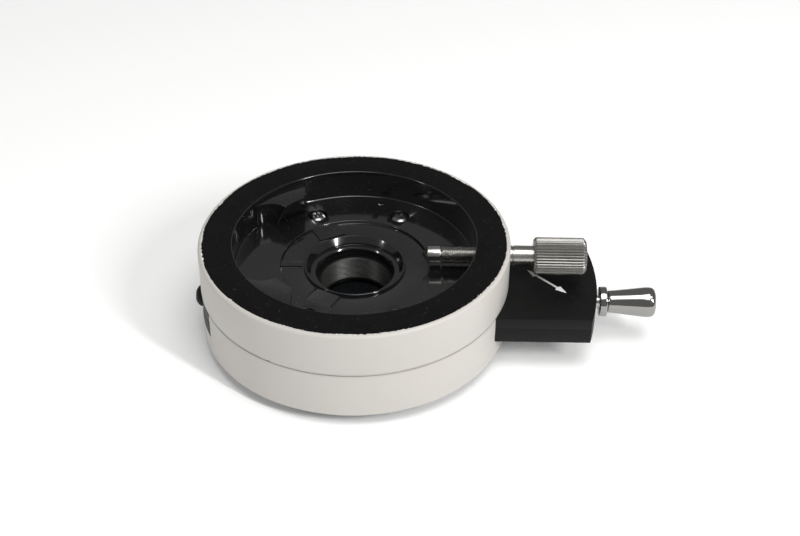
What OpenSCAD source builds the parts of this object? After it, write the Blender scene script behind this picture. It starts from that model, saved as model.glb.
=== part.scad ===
// Intermediate head ring with a slide-in polariser, for a stand that takes dovetail tube heads.
// Two painted rings carry a dovetail socket on top, a slider housing across the middle and a
// dovetail foot below. The origin is on the light axis at the lower ring's bottom face.

/* [Rings] */
// Outer diameter of both rings
ring_d = 100; // [98:1:104]
// Height of the two rings together
ring_h = 31; // [31:0.5:33]
// Height of the parting plane between the rings
split_z = 15.9; // [15.9:0.1:16.3]
// Chamfer on the rim of the upper ring
rim_chamfer = 1.1; // [0.5:0.1:1.5]
// Small chamfer on the edges that meet at the parting plane
edge_chamfer = 0.35; // [0.2:0.05:0.5]

/* [Socket] */
// Diameter of the round socket in the upper ring
socket_d = 78; // [77:0.5:79]
// Height of the socket floor
floor_z = 21; // [20.6:0.1:21.4]
// Diameter of the lowered middle of the floor
floor_step_d = 48; // [44:1:50]
// Depth of the lowered middle
floor_step = 1; // [0.5:0.1:1.5]
// Height of the jaw tops
jaw_top_z = 29.4; // [28:0.1:30]
// Radius of the dovetail jaws at their tops
jaw_r_top = 30.6; // [30:0.1:32]
// Radius of the dovetail jaws at the floor
jaw_r_floor = 34.2; // [33:0.1:35]

/* [Light path] */
// Diameter of the large step in the centre ring
step_d = 28.8; // [28:0.1:30]
// Diameter of the small step in the centre ring
throat_d = 25; // [24.6:0.1:26]
// Diameter of the light exit through the bottom
exit_d = 24; // [23:0.5:24]
// Bore of the polariser cell
cell_bore_d = 21.8; // [21:0.1:22]

/* [Housing bar] */
// Height of the bar that holds the slider
bar_h = 9.1; // [9.1:0.1:9.3]
// Lowest Y of the bar
bar_y0 = -21.5; // [-22:0.1:-21]
// Highest Y of the bar
bar_y1 = 16.5; // [16:0.1:17]
// Radius of the bar's round outer end
bar_end_r = 78.5; // [77:0.5:79]
// Thickness of the cover that closes the bar
cover_h = 3.7; // [3.5:0.1:4]
// How far the slider pulls out
slide_travel = 28; // [24:1:28]

/* [Clamp screw] */
// Height of the clamp screw's axis
clamp_z = 25; // [24.5:0.1:25.5]
// Major diameter of the clamp screw's thread
thread_d = 6; // [6:0.1:6.2]
// Diameter of the knurled head
head_d = 12; // [11:0.5:13]
// Length of the knurled head
head_len = 16.8; // [15:0.2:18]
// X of the cone tip at rest
tip_x = 21.5; // [20:0.5:22]

/* [Pull knob] */
// Y of the pull rod's axis
rod_y = -4.7; // [-6:0.1:-4]
// Height of the pull rod's axis
rod_z = 10.5; // [10.3:0.1:10.8]
// Diameter of the pull rod
rod_d = 4; // [3:0.5:5]
// Largest diameter of the knob
knob_d = 9.9; // [9:0.1:10.4]
// X of the knob's outer end
knob_end_x = 97.5; // [95:0.5:100]

/* [Foot] */
// Diameter of the dovetail foot
foot_d = 62; // [60:0.5:64]
// Depth of the foot below the lower ring
foot_h = 4; // [3.5:0.1:4.5]

/* [Hidden] */
$fn = 96;

// Rings
ring_r = ring_d / 2;
socket_r = socket_d / 2;
step_floor_z = floor_z - floor_step;
centre_r = 16.4;
centre_shoulder_r = 18.2;
centre_shoulder_z = split_z + 1.6;
throat_top_z = 18;
web_h = 0.5;
web_angles = [118, 180, 242];
web_widths = [9, 3, 9];

// Jaws: a sector of the socket wall, one end flat, the other scooped by a round cutter
jaw_end_x = -18;
scoop_x = -28.5;
scoop_y = 13.5;
scoop_r = 7.6;
jaw_end_angle = 150.2;
jaw_screw_spots = [[-20.8, 29.6], [-26.2, 25]];

// Screws with round heads and cross recesses
m3_r = 1.5;
m3_head_r = 2.9;
floor_screw_x = 14;
floor_screw_y = 27;
pin_r = 1.25;
pin_circle_r = 35.3;
pin_angle = 78;

// Housing bar
bar_top = split_z;
bar_z0 = bar_top - bar_h;
seam_z = bar_top - cover_h;
floor_t = 1;
roof_t = 0.9;
pocket_z0 = bar_z0 + floor_t;
pocket_z1 = bar_top - roof_t;
pocket_y0 = -15;
pocket_y1 = 12.8;
pocket_x0 = -15;
pocket_x1 = 46;
end_land_r = ring_r - 0.1;

// Slider
gap = 0.12;
frame_x0 = pocket_x0 + 0.3;
frame_x1 = 17;
frame_z0 = pocket_z0 + gap;
frame_z1 = pocket_z1 - gap;
cell_r = 12;
cell_z0 = 4.7;
well_z = cell_z0 - 0.4;
well_clear = 0.5;
glass_z = 5.3;
glass_t = 1.2;
glass_r = 11.3;
cell_lip_r = 10.2;
bush_r = 3.4;
bush_x0 = 70;
bush_x1 = 77.9;
rod_clear = 0.05;
rod_x0 = 12.2;
rod_pin_x = 14.6;
rod_pin_r = 0.75;

// Steep cone at the mouth of the centre ring
mouth_w = 1.4;
mouth_h = 1.95;

// Detent in the bar's front wall
detent_x = 15.2;
detent_z = 9.8;
detent_r = 1.25;
groove_depth = 0.9;
notch_depth = 0.5;
ball_y = pocket_y0 - 0.55;

// Clamp screw
tap_clear = 0.06;
dog_r = 2.85;
cone_base_x = tip_x + 1.4;
dog_end_x = tip_x + 6.4;
neck_x = ring_r;
head_x0 = ring_r + 7.5;
head_x1 = head_x0 + head_len;
stem_r = 1.4;
stem_end_x = dog_end_x + 5;
neck_r = 3.3;
neck_bore_x = ring_r - 7.8;

// Pull knob
collar_x0 = 79.3;
collar_x1 = 81.8;
collar_r = 4.85;
knob_x0 = 82;
knob_neck_r = 3.6;

// Button screw, foot and arrow
button_seat_x = -49.1;
button_r = 3.6;
button_shank_r = 1.45;
button_shank_x = -43;
foot_r = foot_d / 2;
foot_land = 1.8;
foot_root_r = foot_r - 1.8;
foot_spigot_r = 24;
foot_spigot_h = 3;
foot_screw_spots = [[-18.5, 18.5], [18.5, 18.5], [-18.5, -18.5], [18.5, -18.5]];
foot_screw_r = 1.25;
foot_head_r = 2.4;
arrow_mid = [62.35, -1.55];
arrow_half = 8.6;
arrow_head = 4.2;
arrow_head_w = 1.9;
arrow_stem_w = 0.85;
arrow_depth = 0.3;

white = "#e9e8e2";
black = "#1d1d1f";
charcoal = "#38383a";
steel = "#b9bbbe";
brass = "#c7a452";

// A cylinder that lies along +X from x0 to x1
module bar_x(x0, x1, r, y = 0, z = 0) {
    translate([x0, y, z]) rotate([0, 90, 0]) cylinder(r = r, h = x1 - x0);
}

// A solid of revolution about an X axis, from [x, r] points
module turned_x(points, y, z) {
    translate([0, y, z]) rotate([0, 90, 0])
        rotate_extrude() polygon([for (p = points) [p[1], p[0]]]);
}

// Puts its children at a polar place on a horizontal plane
module at_polar(r, angle) {
    rotate([0, 0, angle]) translate([r, 0, 0]) children();
}

// The bar's outline seen from above, round at both ends
module bar_outline(y0, y1) {
    intersection() {
        translate([-ring_r, y0]) square([ring_r + bar_end_r + 1, y1 - y0]);
        union() {
            circle(r = end_land_r);
            intersection() {
                circle(r = bar_end_r);
                translate([0, y0]) square([bar_end_r + 1, y1 - y0]);
            }
        }
    }
}

module pocket_prism(z0, z1) {
    translate([pocket_x0, pocket_y0, z0])
        cube([pocket_x1 - pocket_x0, pocket_y1 - pocket_y0, z1 - z0]);
}

// The slot that the cell sweeps as the slider moves
module cell_sweep(z0, z1, clear) {
    for (x = [0, slide_travel]) translate([x, 0, z0]) cylinder(r = cell_r + clear, h = z1 - z0);
    translate([0, -cell_r - clear, z0]) cube([slide_travel, 2 * (cell_r + clear), z1 - z0]);
}

module floor_screw_spots() {
    for (x = [-1, 1], y = [-1, 1])
        translate([x * floor_screw_x, y * floor_screw_y, 0]) children();
}

module housing_screw_spots() {
    for (x = [-30, 4, 40], y = [-18.3, 14.65]) translate([x, y, 0]) children();
}

module upper_ring() {
    color(white) difference() {
        union() {
            rotate_extrude($fn = 128) polygon([
                [centre_r, split_z], [ring_r - edge_chamfer, split_z],
                [ring_r, split_z + edge_chamfer], [ring_r, ring_h - rim_chamfer],
                [ring_r - rim_chamfer, ring_h], [socket_r + 0.3, ring_h],
                [socket_r, ring_h - 0.3], [socket_r, floor_z], [floor_step_d / 2, floor_z],
                [floor_step_d / 2 - 0.4, step_floor_z], [centre_r, step_floor_z]]);
            floor_webs();
        }
        translate([0, 0, split_z - 1]) cylinder(r = centre_shoulder_r, h = centre_shoulder_z - split_z + 1);
        floor_screw_spots() {
            translate([0, 0, split_z - 1]) cylinder(r = m3_r + 0.1, h = 6);
            translate([0, 0, floor_z - 1.4]) cylinder(r = m3_head_r + 0.4, h = 3);
        }
        for (a = [pin_angle, pin_angle + 180]) at_polar(pin_circle_r, a)
            translate([0, 0, split_z - 1]) cylinder(r = pin_r, h = 7);
        for (s = [-1, 1], p = jaw_screw_spots) translate([p[0], s * p[1], split_z - 1]) {
            cylinder(r = m3_r + 0.1, h = 7);
            cylinder(r = m3_head_r + 0.2, h = 3.2);
        }
        bar_x(socket_r - 2, ring_r + 1, thread_d / 2 + tap_clear, 0, clamp_z);
        bar_x(neck_bore_x, ring_r + 1, neck_r + 0.15, 0, clamp_z);
    }
}

// Low webs that brace the lowered middle of the floor
module floor_webs() {
    difference() {
        for (i = [0:2]) rotate([0, 0, web_angles[i]])
            translate([centre_r + 0.5, -web_widths[i] / 2, split_z + 3])
                cube([socket_r - centre_r, web_widths[i], floor_z - web_h - split_z - 3]);
        translate([0, 0, split_z]) cylinder(r = centre_r, h = 20);
    }
}

module centre_ring() {
    color(black) rotate_extrude() polygon([
        [throat_d / 2, split_z], [centre_shoulder_r, split_z],
        [centre_shoulder_r, centre_shoulder_z], [centre_r, centre_shoulder_z],
        [centre_r, step_floor_z + 0.3], [centre_r - 0.3, step_floor_z + 0.6],
        [step_d / 2 + mouth_w, step_floor_z + 0.6], [step_d / 2, step_floor_z + 0.6 - mouth_h],
        [step_d / 2, throat_top_z], [throat_d / 2, throat_top_z]]);
}

module lower_ring() {
    color(white) difference() {
        rotate_extrude($fn = 128) polygon([
            [exit_d / 2, 0], [ring_r - edge_chamfer, 0], [ring_r, edge_chamfer],
            [ring_r, split_z - edge_chamfer], [ring_r - edge_chamfer, split_z],
            [exit_d / 2, split_z]]);
        translate([-ring_r - 1, bar_y0, bar_z0]) cube([ring_d + 2, bar_y1 - bar_y0, bar_h + 1]);
        cell_sweep(well_z, bar_z0 + 1, well_clear);
        translate([0, 0, -1]) cylinder(r = foot_spigot_r, h = foot_spigot_h + 1);
        floor_screw_spots() translate([0, 0, split_z - 9]) cylinder(r = m3_r, h = 10);
        for (a = [pin_angle, pin_angle + 180]) at_polar(pin_circle_r, a)
            translate([0, 0, split_z - 6]) cylinder(r = pin_r, h = 7);
        for (p = foot_screw_spots) translate([p[0], p[1], -1]) cylinder(r = foot_screw_r, h = 5.5);
    }
}

// One dovetail jaw: undercut face towards the socket's middle, flat end, scooped end
module jaw() {
    wall_r = socket_r - 0.02;
    difference() {
        intersection() {
            rotate_extrude($fn = 128) polygon([
                [jaw_r_floor, floor_z], [wall_r, floor_z], [wall_r, jaw_top_z],
                [jaw_r_top + 0.25, jaw_top_z], [jaw_r_top, jaw_top_z - 0.25]]);
            translate([-socket_d, 0, floor_z]) cube([socket_d + jaw_end_x, socket_d, ring_h]);
            rotate([0, 0, jaw_end_angle]) translate([0, -socket_d, floor_z])
                cube([socket_d, socket_d, ring_h]);
        }
        translate([scoop_x, scoop_y, floor_z - 1]) cylinder(r = scoop_r, h = ring_h);
        translate([-socket_d, scoop_y - socket_d, floor_z - 1]) cube([socket_d, socket_d, ring_h]);
        for (p = jaw_screw_spots) translate([p[0], p[1], floor_z - 1]) cylinder(r = m3_r, h = 6);
    }
}

module jaw_left() {
    color(black) jaw();
}

module jaw_right() {
    color(black) mirror([0, 1, 0]) jaw();
}

module jaw_screws() {
    color(steel) for (s = [-1, 1], p = jaw_screw_spots) translate([p[0], s * p[1], 0]) {
        translate([0, 0, split_z + 2]) cylinder(r = m3_r, h = 7.5);
        translate([0, 0, split_z + 0.2]) difference() {
            cylinder(r = m3_head_r, h = 2);
            cylinder(r = 1.4, h = 1, $fn = 6);
        }
    }
}

// Pan head with a cross recess, head up
module cross_head(r, h) {
    difference() {
        rotate_extrude($fn = 48) polygon([
            [0, 0], [r, 0], [r, h * 0.45], [r * 0.85, h * 0.8], [r * 0.5, h], [0, h]]);
        for (a = [0, 90]) rotate([0, 0, a + 20])
            translate([-r * 0.62, -r * 0.13, h * 0.4]) cube([r * 1.24, r * 0.26, h]);
    }
}

module floor_screws() {
    color(steel) floor_screw_spots() {
        translate([0, 0, floor_z - 1.4]) cross_head(m3_head_r, 1.8);
        translate([0, 0, split_z - 8]) cylinder(r = m3_r, h = floor_z - split_z + 6.7);
    }
}

module dowel_pins() {
    color(steel) for (a = [pin_angle, pin_angle + 180]) at_polar(pin_circle_r, a)
        translate([0, 0, split_z - 5.8]) cylinder(r = pin_r, h = floor_z - split_z + 4.8);
}

// Black button-head screw in the bar's left end, on the pull rod's axis
module button_screw() {
    x = button_seat_x;
    color(black) {
        bar_x(button_seat_x - 0.1, button_shank_x, button_shank_r, rod_y, rod_z);
        difference() {
            turned_x([[x, 0], [x, button_r], [x - 0.9, button_r], [x - 1.8, 3.0],
                [x - 2.5, 1.9], [x - 2.7, 0]], rod_y, rod_z);
            translate([x - 4, rod_y, rod_z]) rotate([0, 90, 0]) cylinder(r = 1.35, h = 2.6, $fn = 6);
        }
    }
}

// The flat seat of the button screw's head, and its thread's bore
module button_seat() {
    bar_x(-ring_r - 1, button_seat_x, button_r + 0.05, rod_y, rod_z);
    bar_x(button_seat_x - 1, button_shank_x + 0.4, button_shank_r + 0.05, rod_y, rod_z);
}

module foot_flange() {
    color(steel) difference() {
        rotate_extrude() polygon([
            [exit_d / 2, -foot_h], [foot_r - 0.3, -foot_h], [foot_r, 0.3 - foot_h],
            [foot_r, foot_land + 0.3 - foot_h], [foot_root_r, -0.4], [foot_root_r, 0],
            [foot_spigot_r, 0], [foot_spigot_r, foot_spigot_h], [exit_d / 2, foot_spigot_h]]);
        for (p = foot_screw_spots) translate([p[0], p[1], 0]) {
            translate([0, 0, -foot_h - 1]) cylinder(r = foot_screw_r, h = foot_h + 6);
            translate([0, 0, -foot_h]) cylinder(r1 = foot_head_r, r2 = foot_screw_r, h = 1.4);
        }
    }
}

module foot_screws() {
    color(steel) for (p = foot_screw_spots) translate([p[0], p[1], 0]) difference() {
        union() {
            translate([0, 0, -foot_h]) cylinder(r1 = foot_head_r, r2 = foot_screw_r, h = 1.4);
            translate([0, 0, -foot_h + 1.4]) cylinder(r = foot_screw_r, h = foot_h + 2.6);
        }
        for (a = [0, 90]) rotate([0, 0, a + 35])
            translate([-1.5, -0.3, -foot_h - 1]) cube([3, 0.6, 1.7]);
    }
}

module housing_base() {
    color(charcoal) difference() {
        translate([0, 0, bar_z0]) linear_extrude(seam_z - bar_z0) bar_outline(bar_y0, bar_y1);
        pocket_prism(pocket_z0, seam_z + 1);
        cell_sweep(bar_z0 - 1, pocket_z0 + 1, well_clear);
        bar_x(pocket_x1 - 1, bush_x0 + 1, rod_d / 2 + 0.5, rod_y, rod_z);
        bar_x(bush_x0, bar_end_r + 2, bush_r, rod_y, rod_z);
        housing_screw_spots() translate([0, 0, seam_z - 4]) cylinder(r = 0.8, h = 5);
        button_seat();
        detent_bore();
    }
}

module housing_cover() {
    color(charcoal) difference() {
        translate([0, 0, seam_z]) linear_extrude(cover_h) bar_outline(bar_y0, bar_y1);
        pocket_prism(seam_z - 1, pocket_z1);
        translate([0, 0, seam_z]) cylinder(r = throat_d / 2, h = cover_h + 1);
        bar_x(pocket_x1 - 1, bush_x0 + 1, rod_d / 2 + 0.5, rod_y, rod_z);
        bar_x(bush_x0, bar_end_r + 2, bush_r, rod_y, rod_z);
        housing_screw_spots() {
            translate([0, 0, seam_z - 1]) cylinder(r = 1.1, h = cover_h + 2);
            translate([0, 0, bar_top - 1.3]) cylinder(r = 1.65, h = 2);
        }
        button_seat();
        detent_bore();
        translate([0, 0, bar_top - arrow_depth]) linear_extrude(1) arrow_outline();
    }
}

// Bore from the bar's front face to the pocket, for the spring detent
module detent_bore() {
    translate([detent_x, bar_y0 - 1, detent_z]) rotate([-90, 0, 0])
        cylinder(r = detent_r + 0.1, h = pocket_y0 - bar_y0 + 2);
}

module housing_screws() {
    color(steel) housing_screw_spots() {
        translate([0, 0, seam_z - 3.8]) cylinder(r = 0.8, h = cover_h + 2.6);
        translate([0, 0, bar_top - 1.3]) cross_head(1.5, 1.2);
    }
}

// Double-headed arrow that shows the direction of vibration
module arrow_outline() {
    stem = arrow_stem_w / 2;
    neck = arrow_half - arrow_head;
    barb = arrow_head_w / 2 + 0.35;
    translate(arrow_mid) rotate(-45) polygon([
        [-arrow_half, 0], [-neck - 0.4, barb], [-neck, stem], [neck, stem], [neck + 0.4, barb],
        [arrow_half, 0], [neck + 0.4, -barb], [neck, -stem], [-neck, -stem], [-neck - 0.4, -barb]]);
}

module arrow_inlay() {
    color("#f2f2f0") translate([0, 0, bar_top - arrow_depth])
        linear_extrude(arrow_depth - 0.05) arrow_outline();
}

module guide_bush() {
    color(brass) difference() {
        bar_x(bush_x0, bush_x1, bush_r, rod_y, rod_z);
        bar_x(bush_x0 - 1, bush_x1 + 1, rod_d / 2 + rod_clear, rod_y, rod_z);
    }
}

module detent_ball() {
    color(steel) translate([detent_x, ball_y, detent_z]) sphere(r = detent_r);
}

module detent_spring() {
    color(steel) translate([detent_x, bar_y0 + 1.4, detent_z]) rotate([-90, 0, 0]) difference() {
        cylinder(r = detent_r - 0.15, h = ball_y - detent_r - bar_y0 - 1.3);
        translate([0, 0, -1]) cylinder(r = detent_r - 0.55, h = 12);
    }
}

module detent_plug() {
    color(steel) difference() {
        translate([detent_x, bar_y0, detent_z]) rotate([-90, 0, 0]) cylinder(r = detent_r + 0.1, h = 1.3);
        translate([detent_x - 2, bar_y0 - 1, detent_z - 0.2]) cube([4, 1.5, 0.4]);
    }
}

module slider_frame() {
    color(black) difference() {
        translate([frame_x0, pocket_y0 + 0.15, frame_z0])
            cube([frame_x1 - frame_x0, pocket_y1 - pocket_y0 - 0.3, frame_z1 - frame_z0]);
        translate([0, 0, frame_z0 - 1]) cylinder(r = cell_r, h = 10);
        translate([frame_x0 - 1, pocket_y0 - 0.1, detent_z - detent_r - 0.25])
            cube([frame_x1 - frame_x0 + 2, groove_depth + 0.1, 2 * detent_r + 0.5]);
        for (x = [detent_x, detent_x - slide_travel])
            translate([x, pocket_y0, detent_z]) rotate([-90, 0, 0])
                cylinder(r = detent_r - 0.3, h = groove_depth + notch_depth);
        bar_x(rod_x0, frame_x1 + 1, rod_d / 2, rod_y, rod_z);
        translate([rod_pin_x, rod_y, rod_z + 1]) cylinder(r = rod_pin_r, h = 5);
    }
}

module polariser_cell() {
    color(steel) rotate_extrude() polygon([
        [cell_lip_r, cell_z0], [cell_r, cell_z0], [cell_r, frame_z1],
        [cell_bore_d / 2 + 0.4, frame_z1], [cell_bore_d / 2, frame_z1 - 0.4],
        [cell_bore_d / 2, glass_z + glass_t + 0.6], [glass_r, glass_z + glass_t + 0.6],
        [glass_r, glass_z], [cell_lip_r, glass_z]]);
}

module polariser_glass() {
    color("#30363a") translate([0, 0, glass_z]) cylinder(r = glass_r, h = glass_t);
}

module glass_ring() {
    color(black) translate([0, 0, glass_z + glass_t]) difference() {
        cylinder(r = glass_r, h = 0.6);
        translate([0, 0, -1]) cylinder(r = cell_bore_d / 2 - 0.4, h = 3);
    }
}

module pull_rod() {
    color(steel) difference() {
        bar_x(rod_x0, collar_x1 + 6, rod_d / 2, rod_y, rod_z);
        translate([rod_pin_x, rod_y, rod_z]) cylinder(r = rod_pin_r, h = 5);
    }
}

module rod_pin() {
    color(steel) translate([rod_pin_x, rod_y, rod_z]) cylinder(r = rod_pin_r, h = frame_z1 - rod_z - 0.3);
}

module pull_collar() {
    color(steel) turned_x([
        [collar_x0, rod_d / 2], [collar_x0, collar_r - 0.3], [collar_x0 + 0.3, collar_r],
        [collar_x1 - 0.3, collar_r], [collar_x1, collar_r - 0.3], [collar_x1, rod_d / 2]],
        rod_y, rod_z);
}

module pull_knob() {
    knob_r = knob_d / 2;
    end = knob_end_x;
    color(steel) turned_x([
        [knob_x0, rod_d / 2], [knob_x0, knob_neck_r - 0.2], [knob_x0 + 0.2, knob_neck_r],
        [end - 4.5, knob_r - 0.25], [end - 3, knob_r], [end - 1.6, knob_r],
        [end - 0.7, knob_r - 0.35], [end - 0.15, knob_r - 1], [end, knob_r - 1.8], [end, 0],
        [collar_x1 + 6, 0], [collar_x1 + 6, rod_d / 2]], rod_y, rod_z);
}

// Pointed tip that the clamp screw pushes; its stem turns freely in the screw's end
module thrust_tip() {
    color(steel) turned_x([
        [tip_x, 0], [cone_base_x, 1.9], [cone_base_x + 0.6, dog_r], [dog_end_x - 0.3, dog_r],
        [dog_end_x - 0.3, stem_r], [stem_end_x, stem_r], [stem_end_x, 0]], 0, clamp_z);
}

module thumbscrew() {
    thread_r = thread_d / 2;
    head_r = head_d / 2;
    color(steel) turned_x([
        [dog_end_x, stem_r + 0.05], [dog_end_x, thread_r - 0.3], [dog_end_x + 0.3, thread_r],
        [neck_x - 0.9, thread_r], [neck_x - 0.8, neck_r], [head_x0, neck_r],
        [head_x0, head_r - 0.6], [head_x0 + 0.7, head_r], [head_x1 - 0.9, head_r],
        [head_x1, head_r - 0.9], [head_x1, 0], [stem_end_x + 0.1, 0],
        [stem_end_x + 0.1, stem_r + 0.05]], 0, clamp_z);
}

upper_ring();
lower_ring();
centre_ring();
jaw_left();
jaw_right();
jaw_screws();
floor_screws();
dowel_pins();
button_screw();
foot_flange();
foot_screws();
housing_base();
housing_cover();
housing_screws();
arrow_inlay();
guide_bush();
detent_ball();
detent_spring();
detent_plug();
slider_frame();
polariser_cell();
polariser_glass();
glass_ring();
pull_rod();
rod_pin();
pull_collar();
pull_knob();
thrust_tip();
thumbscrew();
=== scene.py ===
import math

import bmesh
import bpy
from mathutils import Matrix, Vector


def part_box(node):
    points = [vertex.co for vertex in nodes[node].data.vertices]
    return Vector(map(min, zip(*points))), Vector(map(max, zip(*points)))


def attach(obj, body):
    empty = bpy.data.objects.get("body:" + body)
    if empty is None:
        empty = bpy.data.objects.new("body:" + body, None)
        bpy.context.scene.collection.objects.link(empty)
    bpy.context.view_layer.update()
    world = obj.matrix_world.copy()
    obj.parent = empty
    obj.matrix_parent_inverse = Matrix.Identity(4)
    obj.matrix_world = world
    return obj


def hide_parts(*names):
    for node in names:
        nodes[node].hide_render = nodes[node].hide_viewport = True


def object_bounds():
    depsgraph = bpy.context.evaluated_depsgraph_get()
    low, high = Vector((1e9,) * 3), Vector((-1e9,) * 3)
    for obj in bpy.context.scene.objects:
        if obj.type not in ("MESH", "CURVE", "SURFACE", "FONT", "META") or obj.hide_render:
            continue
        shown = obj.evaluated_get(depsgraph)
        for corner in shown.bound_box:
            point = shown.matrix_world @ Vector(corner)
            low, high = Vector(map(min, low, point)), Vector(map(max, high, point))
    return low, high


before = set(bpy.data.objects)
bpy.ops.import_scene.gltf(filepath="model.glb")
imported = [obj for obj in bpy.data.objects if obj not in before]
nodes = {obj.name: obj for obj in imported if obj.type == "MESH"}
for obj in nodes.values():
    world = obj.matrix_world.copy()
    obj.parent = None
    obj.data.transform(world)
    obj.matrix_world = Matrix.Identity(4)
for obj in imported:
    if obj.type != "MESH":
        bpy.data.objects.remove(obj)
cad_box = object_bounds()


# ---- Camera ------------------------------------------------------------------------------
# A short telephoto looks down into the socket from the front, a little to the arm's side,
# and is turned slightly so that the round body sits left of the middle with the arm beside it.
MM = 0.001
stage = bpy.context.scene
lens_distance = 450 * MM
lens_height_angle = math.radians(35.486)
lens_side_angle = math.radians(3.2)
pan, tilt, roll = 0.032, -0.022, 0.006
seat_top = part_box("upper_ring")[1].z

camera_data = bpy.data.cameras.new("camera")
camera_data.sensor_width = 36
camera_data.lens = 63.24
camera_data.clip_start = 0.01
camera = bpy.data.objects.new("camera", camera_data)
stage.collection.objects.link(camera)
stage.camera = camera

forward = Vector((0, math.cos(lens_height_angle), -math.sin(lens_height_angle)))
right = Vector((1, 0, 0))
upward = right.cross(forward)
aim = (forward + math.tan(pan) * right + math.tan(tilt) * upward).normalized()
side = aim.cross(Vector((0, 0, 1))).normalized()
top = side.cross(aim)
side, top = (math.cos(roll) * side + math.sin(roll) * top,
             math.cos(roll) * top - math.sin(roll) * side)
around = Matrix.Rotation(lens_side_angle, 3, "Z")
turn = around @ Matrix((side, top, -aim)).transposed()
camera.matrix_world = Matrix.Translation(
    around @ (-forward * lens_distance) + Vector((0, 0, seat_top))) @ turn.to_4x4()


# ---- Studio ------------------------------------------------------------------------------
# A wide pale floor, a large soft light overhead and a strip light at each side of the
# camera. The right-hand one is the stronger, so the white rings shade towards the left.
def node(tree, kind, values, **settings):
    """A node with its settings and its inputs, each a plain value or another node's output."""
    made = tree.nodes.new(kind)
    for key, value in settings.items():
        setattr(made, key, value)
    for key, value in values.items():
        if isinstance(value, bpy.types.NodeSocket):
            tree.links.new(value, made.inputs[key])
        else:
            made.inputs[key].default_value = value
    return made


def new_material(name, values):
    """A material with one Principled shader, its tree and the shader."""
    material = bpy.data.materials.new(name)
    material.use_nodes = True
    shader = material.node_tree.nodes["Principled BSDF"]
    for key, value in values.items():
        shader.inputs[key].default_value = value
    return material, material.node_tree, shader


floor_z = cad_box[0].z
sweep_mesh = bpy.data.meshes.new("floor")
reach = 6.0
sweep_mesh.from_pydata(
    [(-reach, -reach, floor_z), (reach, -reach, floor_z), (reach, reach, floor_z),
     (-reach, reach, floor_z)], [], [(0, 1, 2, 3)])
sweep = bpy.data.objects.new("floor", sweep_mesh)
stage.collection.objects.link(sweep)
card = new_material("pale_card", {
    "Base Color": (0.93, 0.93, 0.925, 1), "Roughness": 0.9,
    "Emission Color": (1, 1, 1, 1), "Emission Strength": 0.12})[0]
sweep_mesh.materials.append(card)


def soft_box(name, azimuth, elevation, distance, width, height, power):
    """An area light that faces the middle of the part."""
    light = bpy.data.lights.new(name, "AREA")
    light.shape = "RECTANGLE"
    light.size, light.size_y = width, height
    light.energy = power
    box = bpy.data.objects.new(name, light)
    a, e = math.radians(azimuth), math.radians(elevation)
    away = Vector((math.cos(a) * math.cos(e), math.sin(a) * math.cos(e), math.sin(e)))
    box.location = away * distance + Vector((0, 0, seat_top / 2))
    box.rotation_mode = "QUATERNION"
    box.rotation_quaternion = (-away).to_track_quat("-Z", "Y")
    stage.collection.objects.link(box)


soft_box("overhead", -50, 74, 1.1, 0.7, 0.7, 6.6)
soft_box("right_strip", -41, 36, 0.95, 0.06, 0.3, 5.0)
soft_box("left_strip", -157, 36, 0.95, 0.05, 0.25, 0.9)

world = bpy.data.worlds.new("studio")
stage.world = world
world.use_nodes = True
world.node_tree.nodes["Background"].inputs["Color"].default_value = (1, 1, 1, 1)
world.node_tree.nodes["Background"].inputs["Strength"].default_value = 0.26
stage.view_settings.view_transform = "Standard"


# ---- Surface effects that several finishes share -----------------------------------------
# Each is one node group: paint grain, turning marks from the lathe, dust specks, and chips
# that break away along a worn edge. Each finish sets its own values.
def new_group(name, inputs, outputs):
    """An empty shader group with float or vector sockets, and its two end nodes."""
    group = bpy.data.node_groups.new(name, "ShaderNodeTree")
    for title, value in inputs.items():
        kind = "NodeSocketVector" if isinstance(value, tuple) else "NodeSocketFloat"
        socket = group.interface.new_socket(name=title, in_out="INPUT", socket_type=kind)
        socket.default_value = value
    for title in outputs:
        group.interface.new_socket(name=title, in_out="OUTPUT", socket_type="NodeSocketFloat")
    return group, group.nodes.new("NodeGroupInput"), group.nodes.new("NodeGroupOutput")


def use_group(tree, group, values):
    """A group node in a material, with its inputs set."""
    made = tree.nodes.new("ShaderNodeGroup")
    made.node_tree = group
    for key, value in values.items():
        if isinstance(value, bpy.types.NodeSocket):
            tree.links.new(value, made.inputs[key])
        else:
            made.inputs[key].default_value = value
    return made


grain, grain_in, grain_out = new_group("grain", {"Place": (0, 0, 0), "Scale": 900.0}, ["Tone", "Height"])
grain_tone = node(grain, "ShaderNodeTexNoise", {
    "Vector": grain_in.outputs["Place"], "Scale": grain_in.outputs["Scale"],
    "Detail": 3.0, "Roughness": 0.6})
grain_fine_scale = node(grain, "ShaderNodeMath", {0: grain_in.outputs["Scale"], 1: 5.0}, operation="MULTIPLY")
grain_fine = node(grain, "ShaderNodeTexNoise", {
    "Vector": grain_in.outputs["Place"], "Scale": grain_fine_scale.outputs[0], "Detail": 2.0})
grain_sum = node(grain, "ShaderNodeMath", {
    0: grain_fine.outputs["Fac"], 1: 0.35, 2: grain_tone.outputs["Fac"]}, operation="MULTIPLY_ADD")
grain.links.new(grain_tone.outputs["Fac"], grain_out.inputs["Tone"])
grain.links.new(grain_sum.outputs[0], grain_out.inputs["Height"])

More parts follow.
